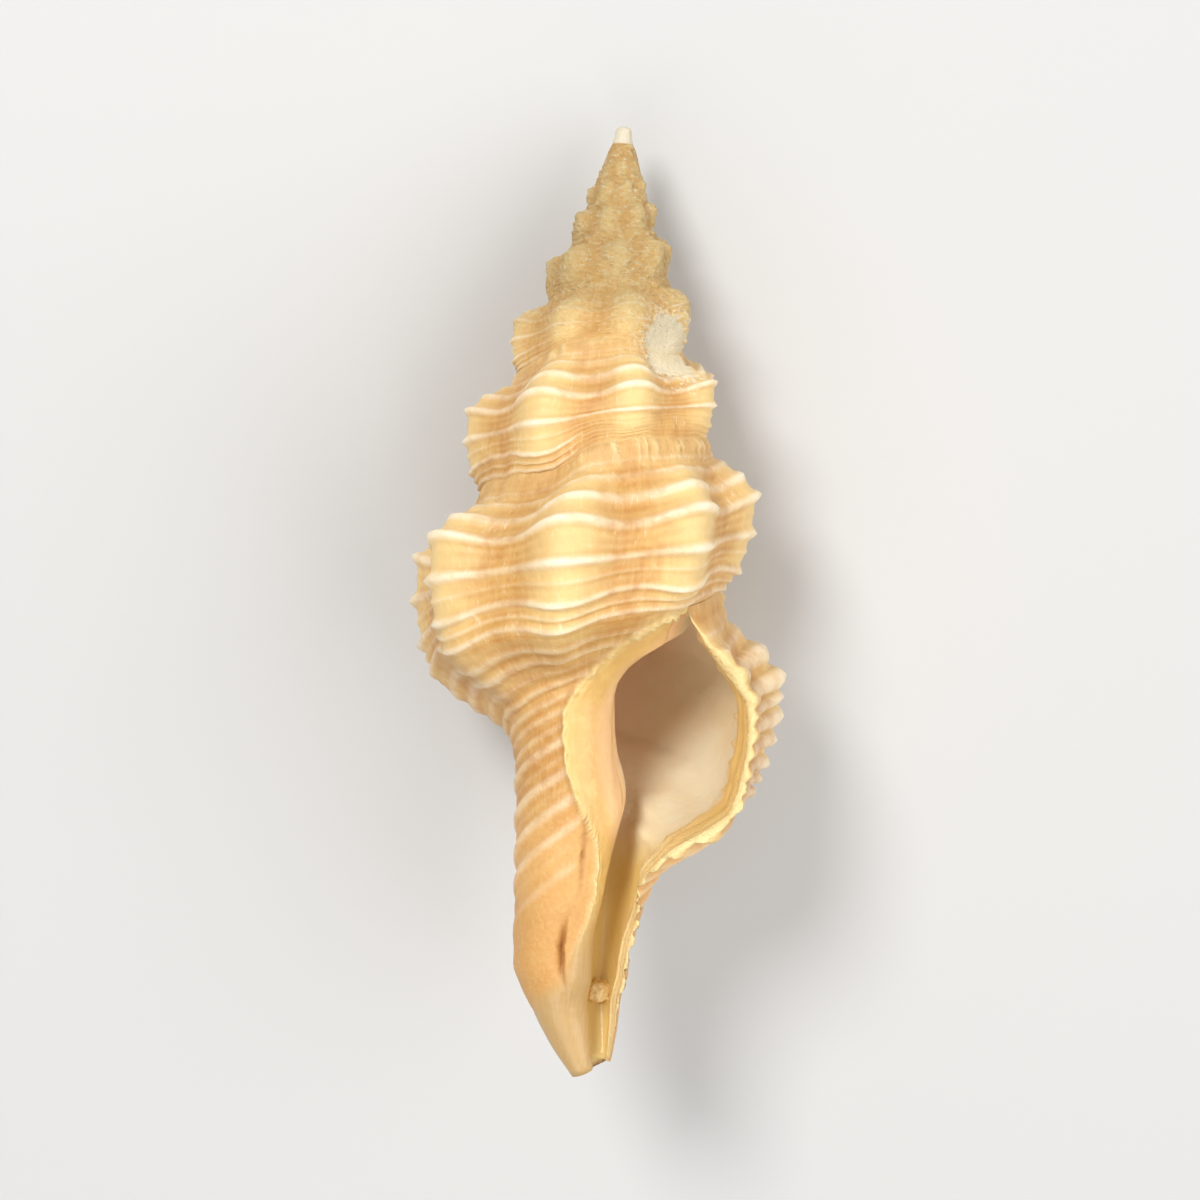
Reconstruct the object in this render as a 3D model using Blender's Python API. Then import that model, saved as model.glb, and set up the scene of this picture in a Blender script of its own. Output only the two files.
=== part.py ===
"""Hemipolygona beckyae shell: a spindle-shaped sea snail shell with knobbed ribs, spiral cords and an open canal.

The shell is one grown piece, so it is one closed solid. It is a loft: the section of a whorl winds round the
coiling axis, grows by a fixed ratio each turn, and is stitched to the turn above it along the suture. The last
turn runs on down the base to the tip of the canal, and round through the mouth into a chamber and back out to
the lip. The functions below work in millimetres and degrees:

    depth  distance from the apex along the coiling axis
    back   angle wound back from the outer lip: 0 at the lip, 360 one whorl earlier
    place  0 at the suture above a whorl and 1 at the suture below it
"""

import math

import bmesh
import bpy
import numpy as np
from mathutils import Matrix, Vector

# Driving dimensions, in millimetres and degrees.
GROWTH_PER_TURN = 1.452
SUTURE_AT_LIP = 27.3
LIP_AZIMUTH = 73.0
OLDEST_BACK = 2880.0
TIP_DEPTH = 55.9
LIP_TIP_DEPTH = 54.9
WALL = 0.95
LIP_WALL = 1.05
LIP_EDGE = 0.4
LIP_LEAN_AT_SUTURE = 24.0

# How finely the loft is cut: columns in one turn, rows on the base and in the chamber, columns into the chamber.
COLUMNS = 40
BASE_ROWS = 22
CHAMBER_COLUMNS = 13
STRIP_SPOTS = (0, 0.14, 0.26, 0.368, 0.46, 0.552, 0.66, 0.765, 0.935, 1)

# Ribs: the angle back from the lip of the ribs that can be told apart, then an even spacing up the spire.
LAST_TURN_RIBS = (-17, 32, 81, 130, 179, 228, 277, 326, 375)
SECOND_TURN_RIBS = (421, 467, 513, 559, 617, 661, 708)
THIRD_TURN_RIBS = (762, 816, 870, 923, 976, 1019, 1075)
RIB_SPACING = 49.0
RIB_SHARPNESS = 1.35

# Cords between two sutures: spot, height over the suture's depth, half width, and how much of it fades in a valley.
STRIP_CORDS = (
    (0.260, 0.010, 0.030, 0.4),
    (0.368, 0.027, 0.040, 0.6),
    (0.552, 0.024, 0.040, 0.55),
    (0.765, 0.018, 0.040, 0.5),
    (0.935, 0.012, 0.035, 0.4),
)

# How the shell lies on its back: turned about the coiling axis, then tipped spire down, in degrees.
REST_TURN = 0.9
REST_TIP = 12.9
FLAT_SPOT_DEPTH = 0.12

# The first whorl: radius at each depth, and how far up each of its rings lies, from 1 at the suture to 0 at the top.
APEX_OUTLINE = ((0, 0), (0.05, 0.22), (0.16, 0.37), (0.35, 0.46), (0.8, 0.49), (1.38, 0.47), (2.0, 0.66))
APEX_RINGS = (0.75, 0.45, 0.2, 0.07)

TURN = 360.0
MILLIMETRE = 0.001
BODY_COLOUR = (0.68, 0.40, 0.13, 1.0)


def curve(x, points):
    """A smooth curve through (x, y) points that never overshoots them."""
    xs, ys = np.array(points, float).T
    steps = np.diff(xs)
    slopes = np.diff(ys) / steps
    before, after = slopes[:-1], slopes[1:]
    same_way = before * after > 0
    inner = np.where(same_way, 2 * before * after / np.where(same_way, before + after, 1), 0)
    tangents = np.concatenate([slopes[:1], inner, slopes[-1:]])
    x = np.clip(x, xs[0], xs[-1])
    i = np.clip(np.searchsorted(xs, x) - 1, 0, len(steps) - 1)
    t = (x - xs[i]) / steps[i]
    rise = t * t * (3 - 2 * t)
    bend = t * (1 - t) ** 2 * tangents[i] - t * t * (1 - t) * tangents[i + 1]
    return ys[i] * (1 - rise) + ys[i + 1] * rise + steps[i] * bend


def ease(x, start, end):
    """0 before start, 1 after end, and smooth between."""
    t = np.clip((x - start) / (end - start), 0, 1)
    return t * t * (3 - 2 * t)


def suture_depth(back):
    return SUTURE_AT_LIP * GROWTH_PER_TURN ** (-back / TURN)


def suture_radius(back):
    return suture_depth(back) * (0.335 - 0.07 * np.exp(-back / 298))


def rib_wave(back):
    """1 on a rib's crest and 0 in the valley between two ribs."""
    crests = [*LAST_TURN_RIBS, *SECOND_TURN_RIBS, *THIRD_TURN_RIBS]
    crests = [crests[0] - RIB_SPACING] + crests
    while crests[-1] < OLDEST_BACK + RIB_SPACING:
        crests.append(crests[-1] + RIB_SPACING)
    phase = np.interp(back, crests, np.arange(len(crests)))
    return (0.5 + 0.5 * np.cos(2 * np.pi * phase)) ** RIB_SHARPNESS


def bottom_radius(back):
    """Radius of a whorl where the next suture is or, on the last turn, where it would have come."""
    free = suture_depth(back) * curve(back, [(0, 0.35), (90, 0.385), (195, 0.395), (290, 0.40), (360, 0.389)])
    joined = ease(back, 280, TURN - LIP_LEAN_AT_SUTURE)
    return free * (1 - joined) + suture_radius(back - TURN) * joined


def shoulder_drop(back, place):
    """Spot: place measured so that each cord keeps its number, though it lies lower on the last turn."""
    return place ** (1 + 0.3 * np.exp(-back / 300))


def smooth_strip(back, place):
    """Radius between two sutures in the valleys, without ribs or cords."""
    top = suture_depth(back)
    chord = suture_radius(back) * (1 - place) + bottom_radius(back) * place
    spot = shoulder_drop(back, place)
    valley = curve(spot, [(0, 0), (0.1, 0.012), (0.2, 0.04), (0.4, 0.082), (0.6, 0.067), (0.8, 0.036), (1, 0)])
    slimmer = 1 - 0.25 * np.exp(-back / 230)
    return chord + top * valley * slimmer


def free_below(back):
    """1 where no later whorl has grown against the bottom of this one, and the ribs' waves run on over the base."""
    return ease(back, 300, 270) * ease(back, -20, 5)


def strip_point(back, place):
    """Radius and depth on the outside between two sutures."""
    top = suture_depth(back)
    wave = rib_wave(back)
    fade = ease(back, OLDEST_BACK, OLDEST_BACK - 500)
    spot = shoulder_drop(back, place)
    rib = curve(spot, [(0, 0), (0.08, 0.004), (0.2, 0.045), (0.32, 0.07), (0.6, 0.055), (0.9, 0.022), (1, 0.006)])
    cord = np.zeros_like(back + place)
    for middle, height, half_width, fading in STRIP_CORDS:
        crest = height * np.exp(-(((spot - middle) / half_width) ** 2))
        cord = np.maximum(cord, crest * (1 - fading * (1 - wave)))
    worn = 1 - 0.7 * ease(top, 9.5, 6)
    out = (rib * wave + cord * worn) * fade
    lift = curve(spot, [(0, 0), (0.1, 0.006), (0.25, 0.03), (0.37, 0.034), (0.54, 0.004), (0.75, -0.026), (1, 0)])
    lift = lift - 0.027 * ease(spot, 0.75, 1) * free_below(back)
    depth = top * (1 + (GROWTH_PER_TURN - 1) * place - lift * wave * fade)
    return smooth_strip(back, place) + top * out, depth


def callus_edge(depth):
    """Angle back from the lip where the callus starts, and the body turns in towards the chamber."""
    upper = [(27.3, 335), (30.5, 302), (35.2, 268), (37, 270), (39.8, 287), (43.2, 313), (45, 312)]
    lower = [(47.4, 297), (50.1, 280), (51.3, 240), (53, 205), (55.9, 190)]
    return curve(depth, upper + lower)


def base_radius(back, depth):
    """Radius of the outside below the last suture, and of the columella that it turns into."""
    top = suture_depth(back)
    over = np.maximum(depth / top, GROWTH_PER_TURN)
    bottom = bottom_radius(back) / top
    lip = curve(over, [(1.452, 1), (1.5, 0.90), (1.535, 0.79), (1.6, 0.56), (1.67, 0.465), (1.81, 0.37), (3.2, 0.3)])
    curled_in = 0.2 * ease(back, 14, -20) * ease(over, GROWTH_PER_TURN, 1.53) * ease(depth, 48, 43)
    lip = lip * (1 - curled_in)
    far = curve(over, [(1.452, 1), (1.52, 0.72), (1.565, 0.56), (1.61, 0.48), (1.74, 0.418), (2.31, 0.355), (3.2, 0.27)])
    inner = curve(
        over,
        [(1.452, 0.389), (1.537, 0.315), (1.585, 0.225), (1.654, 0.137), (1.74, 0.105), (1.917, 0.102), (2.009, 0.118)]
        + [(2.117, 0.15), (2.209, 0.13), (2.4, 0.086), (2.53, 0.076), (2.7, 0.065), (2.77, 0.055), (2.875, 0.029)]
        + [(2.951, -0.017), (2.989, -0.061), (3.027, -0.15), (3.2, -0.3)],
    )
    inner = inner * np.where(over < 1.6, bottom / 0.389 * ease(over, 1.6, 1.452) + ease(over, 1.452, 1.6), 1)
    around = ease(back, 0, 195)
    outside = bottom * (lip * (1 - around) + far * around)
    start = callus_edge(depth)
    width = curve(depth, [(27, 95), (31, 75), (35, 90), (40, 95), (44, 50), (47, 50), (51, 110), (53, 140)])
    turned_in = ease(back, start, start + width)
    return top * (outside * (1 - turned_in) + inner * turned_in)


def base_point(back, depth):
    """A point on the outside of the base, with the last of the ribs."""
    top = suture_depth(back)
    over = depth / top
    wave = rib_wave(back) * (1 - ease(back, callus_edge(depth) - 30, callus_edge(depth)))
    rib = 0.006 * wave * ease(over, 1.6, GROWTH_PER_TURN)
    drop = 0.027 * wave * ease(over, 1.66, GROWTH_PER_TURN) * free_below(back)
    return place_in_space(base_radius(back, depth) + top * rib, back, depth + top * drop)


def outer_wall_radius(back, depth):
    """Radius of the outside of the last whorl at a depth, in the valleys."""
    top = suture_depth(back)
    place = (depth / top - 1) / (GROWTH_PER_TURN - 1)
    return np.where(place < 1, smooth_strip(back, np.clip(place, 0, 1)), base_radius(back, depth))


def chamber_wall_radius(back, depth):
    """Radius of the chamber's outer wall: the outside of the last whorl less the wall."""
    step = 0.05
    slope = (outer_wall_radius(back, depth + step) - outer_wall_radius(back, depth - step)) / (2 * step)
    behind = back + lip_lean(depth)
    thick = LIP_EDGE + (LIP_WALL - LIP_EDGE) * ease(behind, 0, 13) + (WALL - LIP_WALL) * ease(behind, 30, 60)
    thick = thick * curve(depth, [(27, 1), (40, 1), (42.5, 0.75), (44.5, 0.6), (49, 0.6), (52, 0.62), (56, 0.58)])
    return outer_wall_radius(back, depth) - thick * np.sqrt(1 + np.minimum(slope**2, 4))


def chamber_roof_depth(back):
    """Depth where the chamber's outer wall meets the whorl inside it."""
    drop = np.linspace(0, 5, 251)
    depth = suture_depth(back)[..., None] + drop
    gap = chamber_wall_radius(back[..., None], depth) - base_radius(back[..., None] + TURN, depth)
    first = np.argmax(gap > 0, axis=-1)
    return suture_depth(back) + drop[first] * ease(back, -LIP_LEAN_AT_SUTURE, -LIP_LEAN_AT_SUTURE + 12)


def lip_lean(depth):
    """How far round the lip reaches past its own azimuth."""
    upper = [(27.3, LIP_LEAN_AT_SUTURE), (29.5, 14), (31.5, 6), (33, 2), (38, 0), (40, 6), (41.5, 15)]
    lower = [(42.7, 19), (44.2, 15), (46, 7), (48.5, 0), (52, 4), (55, 2)]
    return curve(depth, upper + lower)


def place_in_space(radius, back, depth):
    """A point of the shell with the coiling axis along Y, apex up, and the mouth facing +Z."""
    azimuth = np.radians(LIP_AZIMUTH + back)
    narrow = curve(depth, [(49.8, 1), (51.1, 0.886), (52.8, 0.72), (54.5, 0.52), (55.9, 0.30)])
    aside = curve(depth, [(49.6, 0), (51.1, 0.24), (52.8, 0.75), (54.5, 1.27), (55.9, 1.75)])
    return np.stack([radius * narrow * np.sin(azimuth) + aside, -depth, radius * narrow * np.cos(azimuth)], -1)


class Loft:
    """Rows of points in space and the faces between them, gathered for one mesh."""

    def __init__(self):
        self.points = []
        self.faces = []

    def add(self, points):
        """Add an array of points, and return their numbers in the same arrangement."""
        flat = points.reshape(-1, 3)
        first = len(self.points)
        self.points.extend(map(tuple, flat))
        return np.arange(first, first + len(flat)).reshape(points.shape[:-1])

    def face(self, *corners):
        corners = [corner for i, corner in enumerate(corners) if corner != corners[i - 1]]
        if len(corners) > 2:
            self.faces.append([int(corner) for corner in reversed(corners)])

    def sheet(self, grid):
        for a, b in zip(grid[:-1], grid[1:]):
            for i in range(len(a) - 1):
                self.face(a[i], b[i], b[i + 1], a[i + 1])

    def strip_between(self, a, b, a_marks, b_marks):
        """Triangles between two lines of points, walking down both by their marks."""
        i = j = 0
        while i < len(a) - 1 or j < len(b) - 1:
            step_a = j == len(b) - 1 or (i < len(a) - 1 and a_marks[i + 1] < b_marks[j + 1])
            if step_a:
                self.face(a[i], b[j], a[i + 1])
                i += 1
            else:
                self.face(a[i], b[j], b[j + 1])
                j += 1


def spire_lean(place):
    return LIP_LEAN_AT_SUTURE * (1 - 0.6 * np.sin(np.pi * place))


def whorls(loft):
    """The outside between the sutures, from the lip back to the apex. Returns its grid of point numbers."""
    spots = np.array(STRIP_SPOTS)
    count = int(OLDEST_BACK / TURN * COLUMNS)
    column, spot = np.meshgrid(np.arange(count + 1), spots[:-1], indexing="ij")
    place = spot ** (1 / (1 + 0.3 * np.exp(-column * TURN / COLUMNS / 300)))
    old = np.clip(column / COLUMNS, 0, 1)
    lip = lip_lean(SUTURE_AT_LIP * (1 + (GROWTH_PER_TURN - 1) * place))
    back = column * TURN / COLUMNS - lip * (1 - old) - spire_lean(place) * old
    radius, depth = strip_point(back, place)
    numbers = loft.add(place_in_space(radius, back, depth))
    last = np.empty(count + 1, int)
    last[COLUMNS:] = numbers[: count + 1 - COLUMNS, 0]
    return np.column_stack([numbers, last])


def row_spread(count):
    """How far down each row of the base lies, closer together near the suture."""
    t = np.linspace(0, 1, count + 1)
    return t * (0.72 + 0.28 * t)


def tip_depth(back):
    """Depth of the canal's end: deepest where the callus reaches it, and less at the lip."""
    drop = curve(back, [(-5, 1), (60, 0.9), (130, 0.5), (197, 0), (240, 0.1), (290, 0.35), (377, 0.7), (420, 1)])
    return TIP_DEPTH - (TIP_DEPTH - LIP_TIP_DEPTH) * drop


def base_and_chamber(loft, grid):
    """The last turn's base and canal, the chamber behind the mouth, the lip's edge and the canal's end."""
    spread = row_spread(BASE_ROWS)
    lip_depth = SUTURE_AT_LIP * GROWTH_PER_TURN + (TIP_DEPTH - SUTURE_AT_LIP * GROWTH_PER_TURN) * spread
    mouth_depth = SUTURE_AT_LIP + (TIP_DEPTH - SUTURE_AT_LIP) * spread
    outside = np.empty((COLUMNS + 1, BASE_ROWS + 1), int)
    for column in range(COLUMNS + 1):
        part = column / COLUMNS
        back = column * TURN / COLUMNS - lip_lean(lip_depth) * (1 - part) - lip_lean(mouth_depth) * part
        start = suture_depth(back - TURN)
        start = start + (chamber_roof_depth(back - TURN) - start) * (part == 1)
        depth = start + (tip_depth(back) - start) * spread
        points = base_point(back, depth)
        if column == COLUMNS:
            points = place_in_space(base_radius(back, depth), back, depth)
        if column < COLUMNS:
            outside[column] = loft.add(points)
            grid[column, -1] = outside[column, 0]
        else:
            outside[column, 1:] = loft.add(points[1:])
            outside[column, 0] = grid[0, 0]
    grid[COLUMNS, -1] = grid[0, 0]
    loft.sheet(outside)

    chamber_end = curve(mouth_depth, [(27.3, 150), (34, 200), (39, 160), (41.5, 100), (44, 72), (48, 60), (56, 52)])
    into = np.linspace(0, 1, CHAMBER_COLUMNS + 1) ** 1.2
    lean = lip_lean(mouth_depth)
    back = -lean + (chamber_end + lean) * into[:, None]
    start = chamber_roof_depth(back)
    depth = start + (LIP_TIP_DEPTH - start) * spread
    outer = chamber_wall_radius(back, depth)
    inner = base_radius(back + TURN, depth)
    middle, half = (outer + inner) / 2, np.maximum(outer - inner, 0) / 2
    half = half * np.sqrt(1 - into[:, None] ** 6)
    inner_depth = start + (tip_depth(back + TURN) - start) * spread
    inner_points = place_in_space(middle - half, back, inner_depth)
    outer_points = place_in_space(middle + half, back, depth)
    inner_grid = np.empty(back.shape, int)
    outer_grid = np.empty(back.shape, int)
    inner_grid[0] = outside[-1]
    inner_grid[1:] = loft.add(inner_points[1:])
    outer_grid[-1] = inner_grid[-1]
    outer_grid[:, 0] = inner_grid[:, 0]
    outer_grid[:-1, 1:] = loft.add(outer_points[:-1, 1:])
    loft.sheet(inner_grid)
    loft.sheet(outer_grid[::-1])

    lip_outside = list(grid[0, :-1]) + list(outside[0])
    lip_inside = list(outer_grid[0])
    outside_marks = [-loft.points[i][1] for i in lip_outside]
    inside_marks = [-loft.points[i][1] for i in lip_inside]
    loft.strip_between(lip_inside, lip_outside, inside_marks, outside_marks)
    end = list(outside[:, -1]) + list(inner_grid[1:, -1]) + list(outer_grid[-2::-1, -1])
    loft.face(*end)


def apex(loft, grid):
    """The smooth first whorl: a small round dome over the oldest suture."""
    oldest = grid[-COLUMNS - 1 :, 0]
    ring = np.array([loft.points[i] for i in oldest])
    azimuth = np.arctan2(ring[:-1, 0], ring[:-1, 2])
    above = oldest
    for part in APEX_RINGS:
        depth = -ring[:-1, 1] * part
        radius = curve(depth, APEX_OUTLINE)
        points = np.stack([radius * np.sin(azimuth), -depth, radius * np.cos(azimuth)], -1)
        numbers = loft.add(points)
        numbers = np.append(numbers, numbers[0])
        if above is oldest:
            loft.face(*grid[-1, ::-1], numbers[0])
        loft.sheet(np.stack([above, numbers], -1)[:, ::-1])
        above = numbers
    top = loft.add(np.zeros((1, 3)))[0]
    for a, b in zip(above[:-1], above[1:]):
        loft.face(top, b, a)


def shell_loft():
    loft = Loft()
    grid = whorls(loft)
    base_and_chamber(loft, grid)
    loft.sheet(grid)
    apex(loft, grid)
    return loft


def shell_mesh():
    """The closed shell as a Blender mesh in metres, lying on its back with small flat spots on the floor."""
    loft = shell_loft()
    mesh = bpy.data.meshes.new("shell")
    mesh.from_pydata(loft.points, [], loft.faces)
    solid = bmesh.new()
    solid.from_mesh(mesh)
    turn = Matrix.Rotation(math.radians(-REST_TIP), 4, "X") @ Matrix.Rotation(math.radians(REST_TURN), 4, "Y")
    solid.transform(turn)
    floor = min(vertex.co.z for vertex in solid.verts) + FLAT_SPOT_DEPTH
    everything = solid.verts[:] + solid.edges[:] + solid.faces[:]
    bmesh.ops.bisect_plane(solid, geom=everything, plane_co=(0, 0, floor), plane_no=(0, 0, 1), clear_inner=True)
    bmesh.ops.holes_fill(solid, edges=[edge for edge in solid.edges if edge.is_boundary])
    bmesh.ops.triangulate(solid, faces=[face for face in solid.faces if len(face.verts) > 4])
    corners = np.array([vertex.co for vertex in solid.verts])
    middle = (corners.min(0) + corners.max(0)) / 2
    solid.transform(Matrix.Scale(MILLIMETRE, 4) @ Matrix.Translation(-Vector((middle[0], middle[1], floor))))
    solid.to_mesh(mesh)
    solid.free()
    mesh.shade_smooth()
    mesh.set_sharp_from_angle(angle=math.radians(40))
    return mesh


def shell_material():
    material = bpy.data.materials.new("shell")
    material.use_nodes = True
    surface = material.node_tree.nodes["Principled BSDF"]
    surface.inputs["Base Color"].default_value = BODY_COLOUR
    surface.inputs["Roughness"].default_value = 0.4
    surface.inputs["Metallic"].default_value = 0.0
    return material


def main():
    for thing in list(bpy.data.objects):
        bpy.data.objects.remove(thing)
    collection = bpy.data.collections.new("hemipolygona_beckyae_shell")
    bpy.context.scene.collection.children.link(collection)
    shell = bpy.data.objects.new("shell", shell_mesh())
    shell.data.materials.append(shell_material())
    collection.objects.link(shell)


if __name__ == "__main__":
    main()
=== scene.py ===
"""Hemipolygona beckyae shell, dressed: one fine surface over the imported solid, a small growth, and a studio.

The surface is worked out the way the shell grew. Places on it are given in these terms, with lengths in
millimetres and angles in degrees:

    depth  distance from the apex along the coiling axis
    back   angle wound back from the outer lip: 0 at the lip, 360 one whorl earlier
    over   depth divided by the depth of the whorl's own suture: 1 at the suture above it
    place  0 at the suture above a whorl and 1 at the suture below it
"""

import math

import bmesh
import bpy
import numpy as np
from mathutils import Matrix, Vector, noise


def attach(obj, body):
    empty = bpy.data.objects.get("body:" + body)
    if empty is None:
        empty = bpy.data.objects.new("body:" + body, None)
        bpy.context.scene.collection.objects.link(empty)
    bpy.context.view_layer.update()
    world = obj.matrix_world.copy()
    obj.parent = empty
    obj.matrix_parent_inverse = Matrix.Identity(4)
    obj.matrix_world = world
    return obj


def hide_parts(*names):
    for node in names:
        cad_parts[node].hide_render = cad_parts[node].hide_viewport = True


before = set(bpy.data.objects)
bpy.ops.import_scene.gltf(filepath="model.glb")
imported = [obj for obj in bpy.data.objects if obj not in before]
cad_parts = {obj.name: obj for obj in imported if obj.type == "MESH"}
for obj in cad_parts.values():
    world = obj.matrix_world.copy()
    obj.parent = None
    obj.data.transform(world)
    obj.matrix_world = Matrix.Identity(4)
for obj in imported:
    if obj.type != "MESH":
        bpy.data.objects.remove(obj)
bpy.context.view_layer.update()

bl_info = {
    "name": "Hemipolygona Beckyae Shell",
    "version": (1, 0, 0),
    "blender": (4, 5, 0),
    "location": "View3D > Sidebar > Shell",
    "description": "Grows a spindle-shaped sea snail shell with ribs, cords, mouth and canal, and lights it",
    "category": "Add Mesh",
}

# Driving dimensions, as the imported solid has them. GROWTH is how much each turn widens on the one before.
GROWTH = 1.452
SUTURE_AT_LIP = 27.3
LIP_AZIMUTH = 73.0
OLDEST_BACK = 2880.0
TIP_DEPTH = 55.9
LIP_TIP_DEPTH = 54.9
WALL = 0.95
LIP_WALL = 1.05
LIP_EDGE = 0.16
SUTURE_LEAN = 24.0
REST_TURN = 0.9
REST_TIP = 12.9
TURN = 360.0
MILLIMETRE = 0.001
# Angle over which ribs, cords and crust come in from the oldest whorl on.
COMING_IN = 500.0

LAST_TURN_RIBS = range(-17, 376, 49)
SECOND_TURN_RIBS = (421, 467, 513, 559, 617, 661, 708)
THIRD_TURN_RIBS = (762, 816, 870, 923, 976, 1019, 1075)
RIB_SPACING = 49.0
RIB_SHARPNESS = 1.35

# Cords between two sutures: spot, height over the suture's depth, half width, and share lost in a valley.
STRIP_CORDS = (
    (0.085, 0.008, 0.020, 0.3),
    (0.155, 0.010, 0.022, 0.35),
    (0.250, 0.015, 0.025, 0.4),
    (0.368, 0.028, 0.028, 0.6),
    (0.455, 0.003, 0.016, 0.2),
    (0.552, 0.025, 0.028, 0.55),
    (0.648, 0.007, 0.019, 0.3),
    (0.765, 0.021, 0.027, 0.5),
    (0.852, 0.009, 0.021, 0.3),
    (0.935, 0.014, 0.024, 0.4),
)
# Cords below the last suture: over, height over the suture's depth, half width.
BASE_CORDS = (
    (1.481, 0.009, 0.0095),
    (1.514, 0.01, 0.01),
    (1.547, 0.008, 0.0095),
    (1.583, 0.0095, 0.0105),
    (1.622, 0.009, 0.0115),
    (1.662, 0.0085, 0.0125),
    (1.704, 0.0085, 0.0135),
    (1.750, 0.0125, 0.017),
    (1.798, 0.006, 0.014),
    (1.845, 0.0125, 0.019),
    (1.892, 0.005, 0.015),
    (1.935, 0.0115, 0.02),
    (2.017, 0.0095, 0.021),
    (2.075, 0.004, 0.018),
    (2.140, 0.007, 0.024),
    (2.255, 0.004, 0.026),
)

# How far down a suture strays from its spiral, in millimetres, at angles back: it rides up over some ribs.
SUTURE_STRAYS = (
    (0, 0), (60, 0.1), (130, -0.15), (208, -0.2), (254, 0), (269, -0.25), (283, -1.1), (297, -1.35),
    (319, -1.1), (350, -0.75), (400, -0.1), (450, 0.15), (520, -0.1), (578, -0.3), (600, -0.6),
    (622, -1), (645, -1.1), (660, -0.9), (693, 0.2), (728, 0.4), (780, 0),
)
# Angle back of the crease beside the callus at each depth.
CREASE = ((40.3, 296), (42.5, 299), (44.4, 299), (45.6, 292), (46.6, 284), (48, 281), (50.6, 284))
# How far back the chamber goes at each depth.
CHAMBER_END = ((27.3, 150), (34, 200), (39, 178), (41.5, 115), (44, 72), (48, 60), (56, 52))
# Where the canal starts, in the shell's own frame: knobs by place, width and height, and the ridge there.
KNOBS = ((4.1, -39.8, 0.65, 0.55), (3.75, -41.5, 0.6, 0.5))
RIDGE = ((38.6, 4.6), (39.7, 4.15), (41.6, 3.75), (45.4, 3.6), (47, 3.45))

# The first whorl: its radius at each depth, and its rings, from 1 at the suture to 0 at the top.
APEX_OUTLINE = (
    (0, 0), (0.04, 0.25), (0.12, 0.4), (0.3, 0.48), (0.6, 0.52),
    (1, 0.6), (1.2, 0.69), (1.38, 0.77), (2, 1),
)
APEX_RINGS = (0.93, 0.86, 0.79, 0.72, 0.65, 0.58, 0.51, 0.44, 0.37, 0.3, 0.23, 0.17, 0.11, 0.06, 0.025)

# Fine threads between the cords: how far apart, in spots.
THREAD_SPACING = 0.0535

# How finely the surface is laid out: columns in each turn from the lip up, rows, and columns inside.
COLUMNS_PER_TURN = (300, 190, 150, 120, 90, 70, 50, 40)
BASE_ROWS = 104
CHAMBER_COLUMNS = 56

# The photograph's frame: how far the apex leans, the point looked at in the shell's own frame, and the lens.
APEX_LEAN = 3.9
VIEW_CENTRE = (0.48, -27.9, 0.0)
VIEW_DISTANCE = 196.3
LENS = 100.0
SENSOR = 36.0
# Where the growth shows in the canal, and the middle of the chalky patch, in the shell's own frame.
NODULE_AT = (1.88, -51.0, 0.0)
WORN_AT = (3.75, -13.0, 3.3)

# Lights: power beside the key light's, size, and the way there as the photograph's right, up and forward.
LIGHT_DISTANCE = 0.45
WORLD_LIGHT = 0.28
FLOOR_SIZE = 3
LIGHTS = (
    ("key", 1.0, 0.16, (-0.40, 0.42, 0.95)),
    ("fill", 0.95, 0.5, (0.9, -0.2, 0.9)),
    ("low", 0.4, 0.4, (-0.2, -0.9, 0.7)),
)


def rgb(red, green, blue):
    """A screen colour, 0 to 255, as the linear colour that shaders use."""
    scaled = [value / 255 for value in (red, green, blue)]
    return tuple(v / 12.92 if v <= 0.04045 else ((v + 0.055) / 1.055) ** 2.4 for v in scaled)


def curve(x, points):
    """A smooth curve through (x, y) points that never overshoots them."""
    xs, ys = np.array(points, float).T
    steps = np.diff(xs)
    slopes = np.diff(ys) / steps
    before, after = slopes[:-1], slopes[1:]
    same_way = before * after > 0
    inner = np.where(same_way, 2 * before * after / np.where(same_way, before + after, 1), 0)
    tangents = np.concatenate([slopes[:1], inner, slopes[-1:]])
    x = np.clip(x, xs[0], xs[-1])
    i = np.clip(np.searchsorted(xs, x) - 1, 0, len(steps) - 1)
    t = (x - xs[i]) / steps[i]
    rise = t * t * (3 - 2 * t)
    bend = t * (1 - t) ** 2 * tangents[i] - t * t * (1 - t) * tangents[i + 1]
    return ys[i] * (1 - rise) + ys[i + 1] * rise + steps[i] * bend


def ease(x, start, end):
    """0 before start, 1 after end, and smooth between."""
    t = np.clip((x - start) / (end - start), 0, 1)
    return t * t * (3 - 2 * t)


def bell(x, middle, half_width):
    """1 at the middle, falling off smoothly to both sides."""
    return np.exp(-(((x - middle) / half_width) ** 2))


def coming_in(back):
    """0 on the oldest whorl, and 1 once the shell has its ribs and cords."""
    return ease(back, OLDEST_BACK, OLDEST_BACK - COMING_IN)


def unit(vectors):
    """Vectors scaled to length 1."""
    return vectors / np.maximum(np.linalg.norm(vectors, axis=-1, keepdims=True), 1e-9)


def ripple(x, seed):
    """Smooth noise along a line, from -1 to 1, the same each run."""
    draw = np.random.default_rng(seed)
    total = np.zeros_like(np.asarray(x, float))
    for octave in range(3):
        rate, phase = draw.uniform(0.7, 1.3), draw.uniform(0, 2 * np.pi)
        total = total + np.sin(np.asarray(x) * rate * 2.1**octave + phase) / 1.6**octave
    return total / 2


def suture_depth(back):
    """Depth of the suture above a whorl: the spiral narrows by the same share in each turn."""
    return SUTURE_AT_LIP * GROWTH ** (-back / TURN)


def suture_radius(back):
    """How far out the suture above a whorl lies."""
    return suture_depth(back) * (0.335 - 0.07 * np.exp(-back / 298))


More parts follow.
